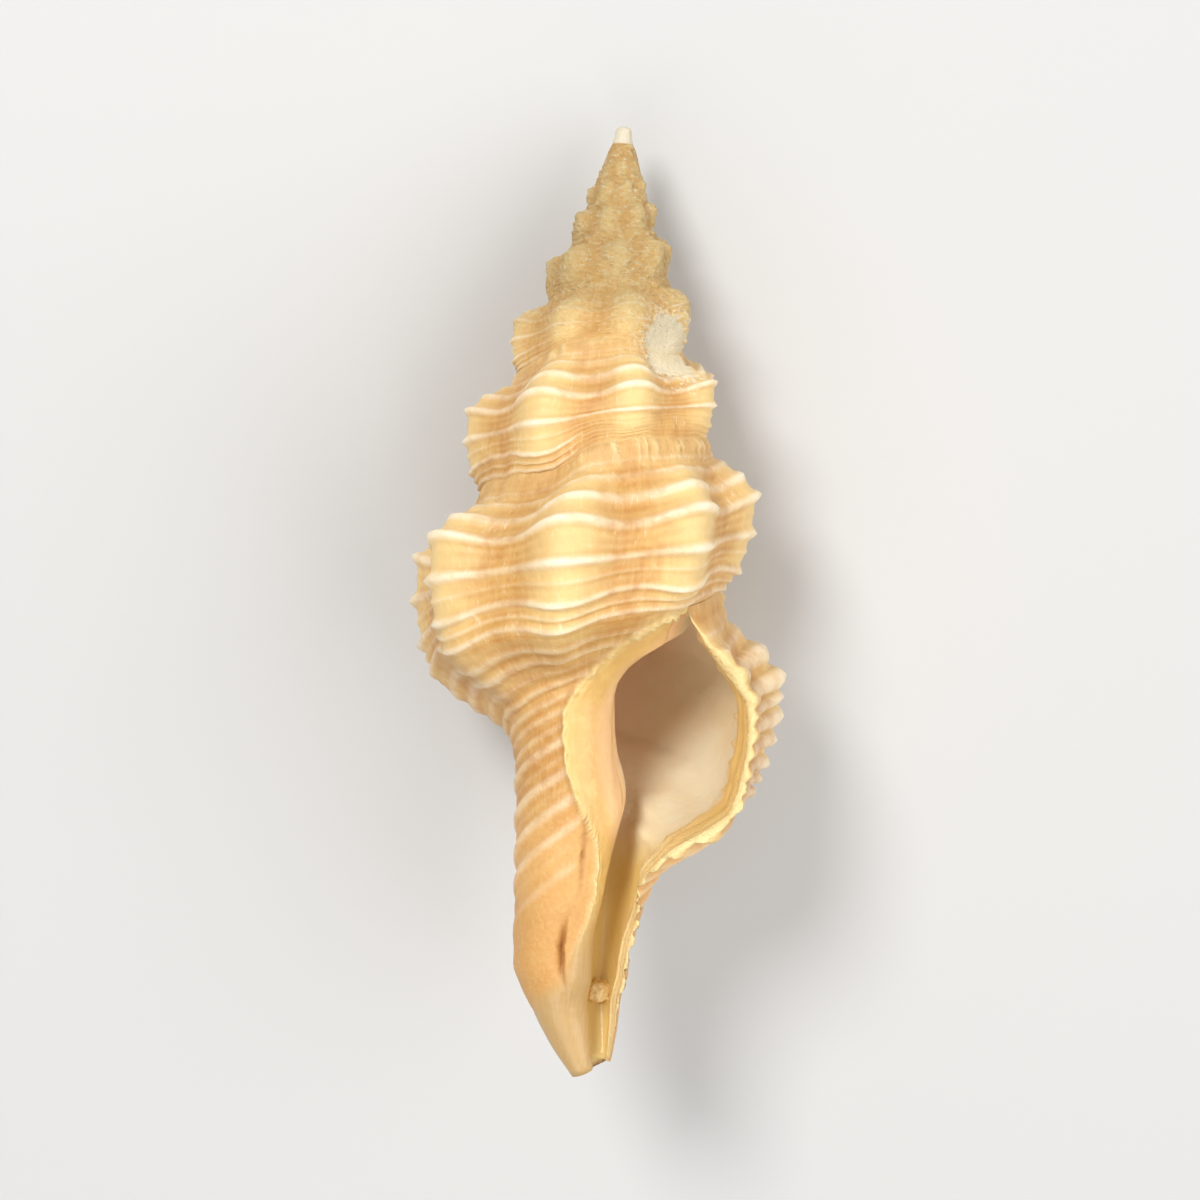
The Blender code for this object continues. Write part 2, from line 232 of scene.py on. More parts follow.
def rib_wave(back):
    """1 on a rib's crest and 0 in the valley between two ribs."""
    crests = [*LAST_TURN_RIBS, *SECOND_TURN_RIBS, *THIRD_TURN_RIBS]
    crests = [crests[0] - RIB_SPACING] + crests
    while crests[-1] < OLDEST_BACK + RIB_SPACING:
        crests.append(crests[-1] + RIB_SPACING)
    phase = np.interp(back, crests, np.arange(len(crests)))
    return (0.5 + 0.5 * np.cos(2 * np.pi * phase)) ** RIB_SHARPNESS


def bottom_radius(back):
    """Radius of a whorl where the next suture is or, on the last turn, where it would have come."""
    over = curve(back, [(0, 0.35), (90, 0.385), (195, 0.395), (290, 0.40), (360, 0.389)])
    joined = ease(back, 280, TURN - SUTURE_LEAN)
    return suture_depth(back) * over * (1 - joined) + suture_radius(back - TURN) * joined


def shoulder_drop(back):
    """Power that turns a place into a spot: the shoulder lies lower on the last turn."""
    return 1 + 0.3 * np.exp(-back / 300)


def smooth_strip(back, place):
    """Radius between two sutures in the valleys, without ribs or cords."""
    chord = suture_radius(back) * (1 - place) + bottom_radius(back) * place
    spot = place ** shoulder_drop(back)
    valley = [(0, 0), (0.1, 0.012), (0.2, 0.04), (0.4, 0.082), (0.6, 0.067), (0.8, 0.036), (1, 0)]
    slimmer = 1 - 0.25 * np.exp(-back / 230)
    return chord + suture_depth(back) * curve(spot, valley) * slimmer


def free_below(back):
    """1 where no later whorl has grown against this one, and the ribs' waves run on over the base."""
    return ease(back, 300, 270) * ease(back, -20, 5)


def strip_form(back, place):
    """Radius and depth of the whorl with its ribs, between two sutures, before the cords."""
    top = suture_depth(back)
    spot = place ** shoulder_drop(back)
    wave = rib_wave(back) * (1 - 0.14 * bell(back, 28, 26)) * coming_in(back)
    rib = [(0, 0), (0.08, 0.004), (0.2, 0.045), (0.32, 0.07), (0.6, 0.055), (0.9, 0.022), (1, 0.006)]
    lift = [(0, 0), (0.1, 0.006), (0.25, 0.03), (0.37, 0.034), (0.54, 0.004), (0.75, -0.026), (1, 0)]
    lift = curve(spot, lift) - 0.027 * ease(spot, 0.75, 1) * free_below(back)
    lift = lift * (1 - 0.85 * ease(back, 75, 30) * ease(spot, 0.6, 0.4))
    depth = top * (1 + (GROWTH - 1) * place - lift * wave)
    cone = [(1.2, 1), (2.4, 0.93), (4.4, 0.85), (6, 0.82), (9.5, 0.83), (10.5, 0.7), (12, 0)]
    radius = smooth_strip(back, place) + top * curve(spot, rib) * wave
    return np.maximum(radius, (0.4 * depth + 0.22) * curve(depth, cone)), depth


def along_suture(back):
    """Length along a suture to the apex."""
    return 5.05 * suture_depth(back)


def suture_wander(back):
    """How far down a suture strays from its spiral."""
    small = 0.006 * suture_depth(back) * ripple(along_suture(back) * 2.2, 54)
    return curve(back, SUTURE_STRAYS) + small * ease(back, 0, 25)


def suture_rise(back):
    """How much further out a suture lies where it rides up over a rib."""
    return 0.35 * np.maximum(-suture_wander(back), 0)


def callus_edge(depth):
    """Angle back from the lip where the callus starts, and the body turns in towards the chamber."""
    upper = [(27.3, 335), (30.5, 302), (35.2, 268), (37, 270), (39.8, 287), (43.2, 313), (45, 312)]
    lower = [(47.4, 297), (50.1, 280), (51.3, 240), (53, 205), (55.9, 190)]
    return curve(depth, upper + lower)


def base_radius(back, depth):
    """Radius of the outside below the last suture, and of the columella that it turns into."""
    top = suture_depth(back)
    over = np.maximum(depth / top, GROWTH)
    bottom = bottom_radius(back) / top
    lip = [(1.452, 1), (1.5, 0.90), (1.535, 0.79), (1.6, 0.56), (1.67, 0.465), (1.81, 0.37), (3.2, 0.3)]
    far = [(1.452, 1), (1.52, 0.72), (1.565, 0.56), (1.61, 0.48), (1.74, 0.418), (2.31, 0.355), (3.2, 0.27)]
    upper = [(1.452, 0.389), (1.537, 0.37), (1.575, 0.33), (1.605, 0.235), (1.64, 0.15), (1.698, 0.1)]
    middle = [(1.769, 0.092), (1.917, 0.102), (2.009, 0.118), (2.117, 0.15), (2.209, 0.13), (2.4, 0.086)]
    lower = [(2.53, 0.076), (2.7, 0.065), (2.77, 0.055), (2.875, 0.029), (2.951, -0.017), (2.989, -0.061)]
    curled_in = 0.2 * ease(back, 14, -20) * ease(over, GROWTH, 1.53) * ease(depth, 48, 43)
    inner = curve(over, upper + middle + lower + [(3.027, -0.15), (3.2, -0.3)])
    joined = bottom / 0.389 * ease(over, 1.6, 1.452) + ease(over, 1.452, 1.6)
    inner = inner * np.where(over < 1.6, joined, 1)
    around = ease(back, 0, 195)
    outside = bottom * (curve(over, lip) * (1 - curled_in) * (1 - around) + curve(over, far) * around)
    start = callus_edge(depth)
    width = curve(depth, [(27, 95), (31, 75), (35, 90), (40, 95), (44, 50), (47, 50), (51, 110), (53, 140)])
    turned_in = ease(back, start, start + width)
    return top * (outside * (1 - turned_in) + inner * turned_in)


def outer_wall_radius(back, depth):
    """Radius of the outside of the last whorl at a depth, in the valleys."""
    top = suture_depth(back)
    place = (depth / top - 1) / (GROWTH - 1)
    return np.where(place < 1, smooth_strip(back, np.clip(place, 0, 1)), base_radius(back, depth))


def chamber_wall_radius(back, depth):
    """Radius of the chamber's outer wall: the outside of the last whorl less the wall."""
    step = 0.05
    slope = (outer_wall_radius(back, depth + step) - outer_wall_radius(back, depth - step)) / (2 * step)
    behind = back + lip_lean(depth)
    thick = LIP_EDGE + (LIP_WALL - LIP_EDGE) * ease(behind, 0, 13) + (WALL - LIP_WALL) * ease(behind, 30, 60)
    layers = 0.5 + 0.5 * np.cos(behind * 1.25 + 1.1 * ripple(depth * 1.6, 21) + 0.5 * ripple(depth * 6, 24))
    thick = thick + 0.17 * layers * ease(behind, 0, 2) * ease(behind, 14, 9)
    teeth = np.clip(0.5 + 0.75 * ripple(depth * 4.6, 22), 0, 1) * ease(depth, 42, 39)
    thick = thick + 0.34 * bell(behind, 15.5 + 2.5 * ripple(depth * 2.1, 25), 3) * teeth
    fold = bell(depth, 40.9, 1.0) * bell(behind, 22, 17)
    thick = thick + 0.35 * fold * (0.8 + 0.2 * ripple(depth * 4.3, 23))
    thinner = [(27, 1), (40, 1), (42.5, 0.75), (44.5, 0.45), (49, 0.5), (52, 0.62), (56, 0.58)]
    thick = thick * curve(depth, thinner)
    return outer_wall_radius(back, depth) - thick * np.sqrt(1 + np.minimum(slope**2, 4))


def chamber_roof_depth(back):
    """Depth where the chamber's outer wall meets the whorl inside it."""
    top = suture_depth(back)
    drop = np.linspace(0, 5, 251)
    depth = top[..., None] + drop
    gap = chamber_wall_radius(back[..., None], depth) - base_radius(back[..., None] + TURN, depth)
    first = np.argmax(gap > 0, axis=-1)
    return top + drop[first] * ease(back, -SUTURE_LEAN, -SUTURE_LEAN + 12)


def lip_lean(depth):
    """How far round the lip reaches past its own azimuth."""
    upper = [(27.3, SUTURE_LEAN), (29.5, 14), (31.5, 6), (33, 2), (38, 0), (40, 6), (41.5, 15)]
    lower = [(42.7, 19), (44.2, 15), (46, 7), (48.5, 0), (52, 4), (55, 2)]
    return curve(depth, upper + lower)


def spire_lean(place):
    """How far round the columns of the spire lean, as its growth lines do."""
    return SUTURE_LEAN * (1 - 0.6 * np.sin(np.pi * place))


def tip_depth(back):
    """Depth of the canal's end: deepest where the callus reaches it, and less at the lip."""
    drop = [(-5, 1), (60, 0.9), (130, 0.5), (197, 0), (240, 0.1), (290, 0.35), (377, 0.7), (420, 1)]
    return TIP_DEPTH - (TIP_DEPTH - LIP_TIP_DEPTH) * curve(back, drop)


def place_in_space(radius, back, depth):
    """A point of the shell with the coiling axis along Y, apex up, and the mouth facing +Z."""
    azimuth = np.radians(LIP_AZIMUTH + back)
    narrow = curve(depth, [(49.8, 1), (51.1, 0.886), (52.8, 0.72), (54.5, 0.52), (55.9, 0.30)])
    aside = curve(depth, [(49.6, 0), (51.1, 0.24), (52.8, 0.75), (54.5, 1.27), (55.9, 1.75)])
    out = radius * narrow
    return np.stack([out * np.sin(azimuth) + aside, -depth, out * np.cos(azimuth)], -1)


def outward(points):
    """Unit normals of a grid of points laid out as columns by rows."""
    across = np.gradient(points, axis=0)
    down = np.gradient(points, axis=1)
    return unit(np.cross(down, across))


def strip_cords(back, spot):
    """Height of the cords between two sutures over the suture's depth, and a mask of their tops."""
    wave = rib_wave(back)
    height = np.zeros_like(spot)
    mask = np.zeros_like(spot)
    at_lip = bell(back, 19, 14) + 0.3 * ease(back, 12, 0)
    for middle, rise, half_width, fading in STRIP_CORDS:
        knobbed = at_lip * (middle > 0.2)
        shape = bell(spot, middle, half_width)
        knob = np.sqrt(np.clip(1 - ((spot - middle) / (1.75 * half_width)) ** 2, 0, 1))
        shape = shape + (knob - shape) * knobbed
        tall = rise + max(0, 0.028 - rise) * knobbed
        height = np.maximum(height, tall * shape * (1 - fading * (1 - wave)))
        mask = np.maximum(mask, shape * np.minimum(1, tall / 0.014))
    return height, mask


def base_cords(over):
    """The same for the cords below the last suture."""
    height = np.zeros_like(over)
    mask = np.zeros_like(over)
    for middle, rise, half_width in BASE_CORDS:
        shape = bell(over, middle, half_width)
        height = np.maximum(height, rise * shape)
        mask = np.maximum(mask, shape * min(1, rise / 0.012))
    return height, mask


class Surface:
    """Points, their painted values, and faces, gathered for one mesh."""

    MASKS = ("cord", "rib", "enamel", "chamber", "frill", "winding", "crease", "inner")

    def __init__(self):
        self.blocks = []
        self.values = {name: [] for name in self.MASKS}
        self.faces = []
        self.count = 0

    def add(self, points, masks, part=...):
        """Add part of an array of points with their masks, and return their numbers in its arrangement."""
        shape = points[part].shape[:-1]
        size = int(np.prod(shape))
        self.blocks.append(points[part].reshape(-1, 3))
        for name in self.MASKS:
            mask = np.broadcast_to(masks.get(name, 0.0), points.shape[:-1])
            self.values[name].append(mask[part].reshape(-1))
        self.count += size
        return np.arange(self.count - size, self.count).reshape(shape)

    def sheet(self, grid):
        """Quads over a grid of point numbers laid out as columns by rows."""
        quads = np.stack([grid[:-1, :-1], grid[1:, :-1], grid[1:, 1:], grid[:-1, 1:]], -1).reshape(-1, 4)
        self.faces.extend(quads[:, ::-1].tolist())

    def strip_between(self, a, b, a_marks, b_marks):
        """Triangles between two lines of points, walking down both by their marks."""
        i = j = 0
        while i < len(a) - 1 or j < len(b) - 1:
            step_a = j == len(b) - 1 or (i < len(a) - 1 and a_marks[i + 1] < b_marks[j + 1])
            if step_a:
                self.faces.append([a[i + 1], b[j], a[i]])
                i += 1
            else:
                self.faces.append([b[j + 1], b[j], a[i]])
                j += 1

    def mesh(self, name, move):
        """The Blender mesh, without the flat faces that shared corners leave."""
        own = np.concatenate(self.blocks)
        rested = own @ np.array(move.to_3x3()).T + np.array(move.translation)
        rested[:, 2] = np.maximum(rested[:, 2], 0)
        faces = []
        for face in self.faces:
            corners = [int(corner) for i, corner in enumerate(face) if corner != face[i - 1]]
            if len(set(corners)) > 2:
                faces.append(corners)
        mesh = bpy.data.meshes.new(name)
        mesh.from_pydata(rested.tolist(), [], faces)
        for label, blocks in self.values.items():
            painted = mesh.attributes.new(label, "FLOAT", "POINT")
            painted.data.foreach_set("value", np.concatenate(blocks).astype(np.float32))
        grown = mesh.attributes.new("grown", "FLOAT_VECTOR", "POINT")
        grown.data.foreach_set("vector", own.astype(np.float32).reshape(-1))
        mesh.shade_smooth()
        mesh.validate()
        return mesh


def column_angles():
    """Nominal angle back of each column: close together at the lip, and further apart up the spire."""
    angles = [0.0]
    for turn, count in enumerate(COLUMNS_PER_TURN):
        angles.extend(turn * TURN + TURN * (i + 1) / count for i in range(count))
    return np.array(angles)


def row_spots():
    """Rows between two sutures: close together across each cord, and never far apart."""
    spots = [0.0, 1.0]
    for middle, rise, half_width, _ in STRIP_CORDS:
        offsets = (-1.75, -1.3, -0.7, 0, 0.7, 1.3, 1.75) if rise > 0.01 else (-1.2, 0, 1.2)
        spots.extend(middle + half_width * offset for offset in offsets)
    spots = sorted(spots)
    kept = [spots[0]]
    for spot in spots[1:]:
        gap = spot - kept[-1]
        if gap < 0.009:
            continue
        for extra in range(1, int(gap / 0.034) + 1):
            kept.append(kept[-1] + gap / (int(gap / 0.034) + 1))
        kept.append(spot)
    kept[-1] = 1.0
    return np.array(kept)


def lumps(points, size, seed):
    """Smooth bumps in space, from about -1 to 1, each about as wide as size."""
    draw = np.random.default_rng(seed)
    total = np.zeros(points.shape[:-1])
    for _ in range(9):
        way = draw.normal(size=3)
        way = way / np.linalg.norm(way) * draw.uniform(0.6, 1.5) * np.pi / size
        total = total + np.sin(points @ way + draw.uniform(0, 2 * np.pi))
    return total / 3


def worn_away(points):
    """1 on the chalky patch, where the cords are worn flat."""
    apart = np.linalg.norm(points - np.array(WORN_AT), axis=-1) + 0.45 * lumps(points, 0.9, 41)
    return ease(apart, 2.1, 1.6)


def shift_along(points, amount):
    """A grid of points moved outwards by an amount at each."""
    return points + outward(points) * amount[..., None]


def suture_crust(back, spot):
    """Small upright scales that crowd along the sutures, from 0 to 1, and where they crowd."""
    along = along_suture(back)
    slant = 3.4 * spot + 0.4 * ripple(along * 1.1, 51)
    scales = 0.5 + 0.5 * np.sin(2 * np.pi * (along / 0.62 + 1.1 * ripple(along * 0.8, 52) + slant))
    scales = scales**1.5 * np.clip(0.55 + 0.7 * ripple(along * 2.9, 55), 0.1, 1)
    crowd = np.clip(0.45 + 0.9 * ripple(along * 0.5, 53), 0.15, 1)
    crowd = np.maximum(crowd, np.maximum(bell(back, 305, 22), bell(back, 615, 26)))
    reach = 0.035 + 0.045 * crowd
    near = np.exp(-((spot / reach) ** 2)) * ease(back, 8, 30)
    return scales, near, crowd


def whorl_form(back, place):
    """Points of the whorls between their sutures, with ribs but without cords and crust, and their depth."""
    radius, depth = strip_form(back, place)
    below = back - TURN
    depth = depth + suture_wander(back) * ease(place, 0.5, 0) + suture_wander(below) * ease(place, 0.35, 1)
    radius = radius + suture_rise(back) * ease(place, 0.3, 0) + suture_rise(below) * ease(place, 0.6, 1)
    raised = 0.01 * suture_depth(back) * ease(place, 0.14, 0) * ease(back, 4, 30) * coming_in(back)
    return place_in_space(radius + raised, back, depth), depth


def whorl_detail(back, spot, depth, points, settings):
    """How far the whorls' fine forms stand out, and the masks that colour them."""
    fade = coming_in(back)
    height, cord = strip_cords(back, spot)
    scales, near, crowd = suture_crust(back, spot)
    near = near * fade
    crust = near * (0.004 + 0.02 * crowd * scales) * (0.2 + 0.8 * ease(spot, 0, 0.02))
    squeezed = ease(-suture_wander(back - TURN), 0.3, 1.1) * ease(spot, 0.5, 0.8)
    height = height * (1 - 0.7 * squeezed) * (1 - 0.8 * ease(spot, 0.96, 1) * ease(back, TURN - 30, TURN))
    layers = np.maximum(ripple(back / 1.9 + 2.5 * spot, 7), 0) ** 2
    layers = layers * (0.5 + 0.5 * ripple(back / 23 + 4 * spot, 8))
    layers = 0.004 * layers * (1 - 0.7 * ease(spot, 0.2, 0.5)) * ease(spot, 0, 0.05) * ease(spot, 1, 0.9)
    pitted = 0.045 * lumps(points, 0.42, 9) + 0.042 * lumps(points, 0.24, 10)
    pitted = pitted * ease(depth, 16, 8) * ease(depth, 2.2, 3.6)
    worn = worn_away(points)
    dulled = (1 - 0.65 * ease(depth, 15.5, 9)) * (1 - worn)
    height = height * fade * dulled * settings.cord_height
    shift = suture_depth(back) * (height + crust + layers) + pitted - 0.08 * worn
    crusty = np.clip(near * (0.3 + 1.2 * crowd * scales), 0, 1)
    low_edge = ease(spot, 0.94, 0.97) * ease(back, TURN - 60, TURN - SUTURE_LEAN)
    cord = np.maximum(cord * dulled * (1 - squeezed), near * crowd * scales)
    rib = rib_wave(back) * ease(spot, 0, 0.2) * (1 - 0.6 * ease(spot, 0.7, 1))
    masks = {
        "cord": cord * fade,
        "rib": rib * fade,
        "frill": np.maximum(crusty, 0.4 * low_edge),
        "winding": spot,
    }
    return shift, masks


def outside_sheets(surface, settings):
    """The outside: the whorls between their sutures, then the last turn's base down to the canal's end."""
    nominal = column_angles()
    turned = nominal[:, None]
    spots = row_spots()
    spot = np.broadcast_to(spots, (len(nominal), len(spots)))
    place = spot ** (1 / shoulder_drop(turned))
    old = np.clip(turned / TURN, 0, 1)
    lip = lip_lean(SUTURE_AT_LIP * (1 + (GROWTH - 1) * place))
    back = turned - lip * (1 - old) - spire_lean(place) * old
    whorls, depth = whorl_form(back, place)
    shift, masks = whorl_detail(back, spot, depth, whorls, settings)
    whorls = shift_along(whorls, shift)

    last = COLUMNS_PER_TURN[0]
    spread = row_spread()
    base_start = SUTURE_AT_LIP * GROWTH
    lip_depth = base_start + (TIP_DEPTH - base_start) * spread
    part = turned[: last + 1] / TURN
    back = turned[: last + 1] - lip_lean(lip_depth) * (1 - part) - lip_lean(mouth_rows()) * part
    start = suture_depth(back - TURN)
    start[-1] = chamber_roof_depth(back[-1] - TURN)
    depth = start + (tip_depth(back) - start) * spread
    shift, base_masks = base_detail(back, depth, settings)
    base = shift_along(base_form(back, depth), shift)
    base[-1] = place_in_space(base_radius(back[-1], depth[-1]), back[-1], depth[-1])

    numbers = surface.add(whorls, masks, np.s_[:, :-1])
    low = np.empty(base.shape[:2], int)
    low[:-1] = surface.add(base, base_masks, np.s_[:-1])
    low[-1, 1:] = surface.add(base, base_masks, np.s_[-1, 1:])
    low[-1, 0] = numbers[0, 0]
    surface.sheet(np.column_stack([numbers[: last + 1], low[:, 0]]))
    surface.sheet(numbers[last:])
    surface.sheet(low)
    below = nominal <= OLDEST_BACK - TURN
    surface.strip_between(numbers[below, 0], numbers[last:, -1], nominal[below], nominal[last:] - TURN)
    return numbers, low, nominal


def row_spread():
    """How far down each row of the base lies, closer together near the suture."""
    t = np.linspace(0, 1, BASE_ROWS + 1)
    return t * (0.6 + 0.4 * t)


def mouth_rows():
    """Depth of each row along the edge of the mouth."""
    return SUTURE_AT_LIP + (TIP_DEPTH - SUTURE_AT_LIP) * row_spread()


def base_form(back, depth):
    """Points of the base with the last of the ribs, before the cords and the callus."""
    top = suture_depth(back)
    over = depth / top
    wave = rib_wave(back) * (1 - ease(back, callus_edge(depth) - 30, callus_edge(depth)))
    rib = 0.006 * wave * ease(over, 1.6, GROWTH)
    drop = 0.027 * wave * ease(over, 1.66, GROWTH) * free_below(back)
    return place_in_space(base_radius(back, depth) + top * rib, back, depth + top * drop)


def callus_frill(back, depth, edge):
    """The ragged edge of the callus, with leaves at the upper corner of the mouth."""
    ragged = np.clip(0.62 + 0.5 * ripple(depth * 4.1, 13), 0.15, 1.2)
    second = 0.25 * bell(back, edge + 7, 2.5) * (0.5 + 0.5 * ripple(depth * 3, 14))
    leaves = 0.5 + 0.5 * np.sin((back - edge) * 1.05 + 1.8 * ripple(depth * 3.7, 15))
    corner = ease(depth, 30.6, 28.8) * ease(back, edge - 9, edge - 2) * ease(back, edge + 9, edge + 4)
    frill = bell(back, edge + 1, 2.2) * ragged + second + 0.45 * leaves * corner
    return frill * (1 - ease(depth, 45, 47)) * ease(back, TURN - 14, TURN - 30)


def creases(beside, depth):
    """How deep the creases beside the callus are, and how much painted shade lies in them, at angles beside
    their line.
    """
    upper = bell(depth, 42.6, 2.0) * (0.65 + 0.35 * ripple(depth * 5, 17))
    chink = bell(depth, 48.3, 1.6)
    hollow = bell(beside, 0, np.where(beside < 0, 4.5 + 2.5 * chink, 1.6))
    shade = bell(beside, 0, np.where(beside < 0, 4, 1.8))
    return hollow * (0.3 * upper + 0.6 * chink), np.clip(shade * (upper + chink), 0, 1)


def base_detail(back, depth, settings):
    """How far the base's fine forms stand out, and the masks that colour them."""
    top = suture_depth(back)
    over = depth / top
    edge = callus_edge(depth) + 1.2 * ripple(depth * 1.7, 11) + 0.7 * ripple(depth * 5.3, 12)
    soft = 1.5 + 18 * ease(depth, 47.5, 51)
    covered = ease(back, edge - soft, edge + soft)
    height, cord = base_cords(over)
    scallops = 0.9 - 0.7 * ease(depth, 41.5, 44)
    height = height * (1 + scallops * ease(back, 16, 0) * ease(depth, 52, 47))
    crease = curve(depth, CREASE)
    kept = (1 - covered) * (1 - 0.5 * ease(depth, 44, 49)) * (1 - ease(depth, 50, 51.5))
    kept = kept * (1 - bell(back, crease, 9) * ease(depth, 40, 41.5) * ease(depth, 51, 49))
    callus = settings.callus_thickness / MILLIMETRE * covered * ease(back, TURN, TURN - 30)
    frill = callus_frill(back, depth, edge)
    beside = back - crease - 1.1 * ripple(depth * 4.3, 16)
    # The second share is painted shade: how much of the deep brown crease colour is laid into the crease and
    # the chink.
    slit, crease_shade = creases(beside, depth)
    bulge = bell(beside, -38, 30) * bell(depth, 47, 3.2)
    shift = top * (height * settings.cord_height - 0.004 * ease(over, 1.5, 1.7)) * kept
    shift = shift + callus + (0.3 + 0.12 * ease(depth, 33, 30)) * frill - slit + 0.22 * bulge
    masks = {
        "cord": cord * kept,
        "enamel": covered,
        "frill": np.clip(frill, 0, 1),
        # The crease mask carries the painted shade in the crease and the chink beside the callus.
        "crease": crease_shade,
        "inner": np.clip((back - edge) / 75, 0, 1) * covered,
        "rib": rib_wave(back) * ease(over, 1.6, GROWTH) * 0.4,
        "winding": 1 + (over - GROWTH) / (GROWTH - 1),
    }
    return shift, masks


def chamber_sheets(surface, low):
    """The chamber behind the mouth and the inside of the canal, as the numbers of both walls' points."""
    spread = row_spread()
    into = np.linspace(0, 1, CHAMBER_COLUMNS + 1)[:, None] ** 1.8
    lean = lip_lean(mouth_rows())
    back = -lean + (curve(mouth_rows(), CHAMBER_END) + lean) * into
    behind = back + lean
    start = chamber_roof_depth(back)
    depth = start + (LIP_TIP_DEPTH - start) * spread
    outer = chamber_wall_radius(back, depth)
    inner = base_radius(back + TURN, depth)
    middle = (outer + inner) / 2
    half = np.maximum(outer - inner, 0) / 2 * np.sqrt(1 - into**6)
    inner_depth = start + (tip_depth(back + TURN) - start) * spread
    inner_points = place_in_space(middle - half, back, inner_depth)
    outer_points = place_in_space(middle + half, back, depth)
    for x, y, width, height in KNOBS:
        apart = np.hypot(outer_points[..., 0] - x, outer_points[..., 1] - y)
        outer_points = outer_points + bell(apart, 0, width)[..., None] * np.array((-0.4, 0, 0.9)) * height
    beside = outer_points[..., 0] - curve(depth, RIDGE)
    ridge = bell(beside, 0, np.where(beside < 0, 0.4, 1.3))
    ridge = ridge * ease(depth, 38.4, 39.8) * ease(depth, 47, 45) * ease(back, 8, 30)
    outer_points = outer_points + (0.5 * ridge)[..., None] * np.array((0, 0, 1))

    deep = ease(into, 0, 0.25)
    entrance = 0.7 * ease(depth, 39.5, 42.5) * ease(behind, 40, 15)
    masks = {
        "enamel": 1,
        "chamber": np.maximum(ease(behind, 11, 22), deep),
        "inner": ease(behind, 11, 18),
        # Here winding is how far into the chamber a point lies; the deep colour is laid by it as painted shade
        # on the far wall.
        "winding": ease(behind, 45, 115),
        "frill": np.maximum(np.maximum(bell(behind, 0, 3.5), 0.5 * bell(behind, 15, 3)), entrance),
    }
    inner_grid = np.empty(back.shape, int)
    inner_grid[0] = low[-1]
    inner_grid[1:] = surface.add(inner_points, {"enamel": 1, "inner": 1, "chamber": deep}, np.s_[1:])
    outer_grid = np.empty(back.shape, int)
    outer_grid[-1] = inner_grid[-1]
    outer_grid[:, 0] = inner_grid[:, 0]
    outer_grid[:-1, 1:] = surface.add(outer_points, masks, np.s_[:-1, 1:])
    surface.sheet(inner_grid)
    surface.sheet(outer_grid[::-1])
    return inner_grid, outer_grid


def lip_edge(surface, numbers, low, inner_grid, outer_grid):
    """The lip's rounded and lobed edge, and the face that closes the canal's end."""
    points = np.concatenate(surface.blocks)
    outside = np.concatenate([numbers[0], low[0]])
    inside = outer_grid[0]
    depth = -points[outside, 1]
    inside_depth = -points[inside, 1]
    facing = np.stack([np.interp(depth, inside_depth, points[inside, i]) for i in range(3)], -1)
    forward = unit(points[outside] - np.concatenate([points[numbers[1]], points[low[1]]]))
    reach = 0.14 + 0.1 * ripple(depth * 3.4, 31) + 0.06 * ripple(depth * 9, 32)
    reach = reach * ease(depth, SUTURE_AT_LIP, SUTURE_AT_LIP + 1.5)
    lobes = np.abs(np.sin(depth * 2.6 + 0.7 * ripple(depth * 1.3, 33)))
    lobes = 0.3 * lobes * ease(depth, 36.5, 39) * ease(depth, 54, 50)
    edge = 0.55 * points[outside] + 0.45 * facing + forward * reach[:, None]
    edge = edge + unit(points[outside] - facing) * lobes[:, None]
    rim = np.concatenate([outside[:1], surface.add(edge, {"enamel": 1, "frill": 1}, np.s_[1:])])
    surface.sheet(np.stack([rim, outside]))
    surface.strip_between(inside, rim, inside_depth, depth)
    end = [*low[:, -1], *inner_grid[1:, -1], *outer_grid[-2::-1, -1], rim[-1]]
    surface.faces.append(end[::-1])


def apex_rings(surface, numbers, nominal):
    """The smooth first whorl: a small round dome over the oldest suture."""
    first = int(np.searchsorted(nominal, OLDEST_BACK - TURN))
    above = numbers[first:, 0]
    points = np.concatenate(surface.blocks)
    ring = points[above]
    azimuth = np.arctan2(ring[:-1, 0], ring[:-1, 2])
    for part in APEX_RINGS:
        depth = -ring[:-1, 1] * part
        radius = curve(depth, APEX_OUTLINE)
        row = surface.add(np.stack([radius * np.sin(azimuth), -depth, radius * np.cos(azimuth)], -1), {})
        row = np.append(row, row[0])
        if part == APEX_RINGS[0]:
            surface.faces.append([row[0], *numbers[-1], above[0]])
        surface.sheet(np.stack([above, row], -1)[:, ::-1])
        above = row
    top = surface.add(np.zeros((1, 3)), {})[0]
    for a, b in zip(above[:-1], above[1:]):
        surface.faces.append([a, b, top])


def rest_matrix():
    """From the shell's own frame in millimetres to the floor in metres, the apex where the solid has it."""
    tip = Matrix.Rotation(math.radians(-REST_TIP), 4, "X")
    turn = tip @ Matrix.Rotation(math.radians(REST_TURN), 4, "Y")
    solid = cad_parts["shell"].data
    corners = np.empty(len(solid.vertices) * 3)
    solid.vertices.foreach_get("co", corners)
    corners = corners.reshape(-1, 3)
    apex = Vector(corners[np.argmax(corners[:, 1])])
    return Matrix.Translation(apex) @ turn @ Matrix.Scale(MILLIMETRE, 4)


def shell_mesh(settings):
    """The whole closed surface, at rest on the floor."""
    surface = Surface()
    numbers, low, nominal = outside_sheets(surface, settings)
    inner_grid, outer_grid = chamber_sheets(surface, low)
    lip_edge(surface, numbers, low, inner_grid, outer_grid)
    apex_rings(surface, numbers, nominal)
    return surface.mesh("shell_surface", rest_matrix())


def maths(operation):
    """A method of Number that adds a Math node."""

    def method(self, *others):
        return self.graph.number("Math", {"operation": operation}, dict(enumerate((self, *others))))

    return method


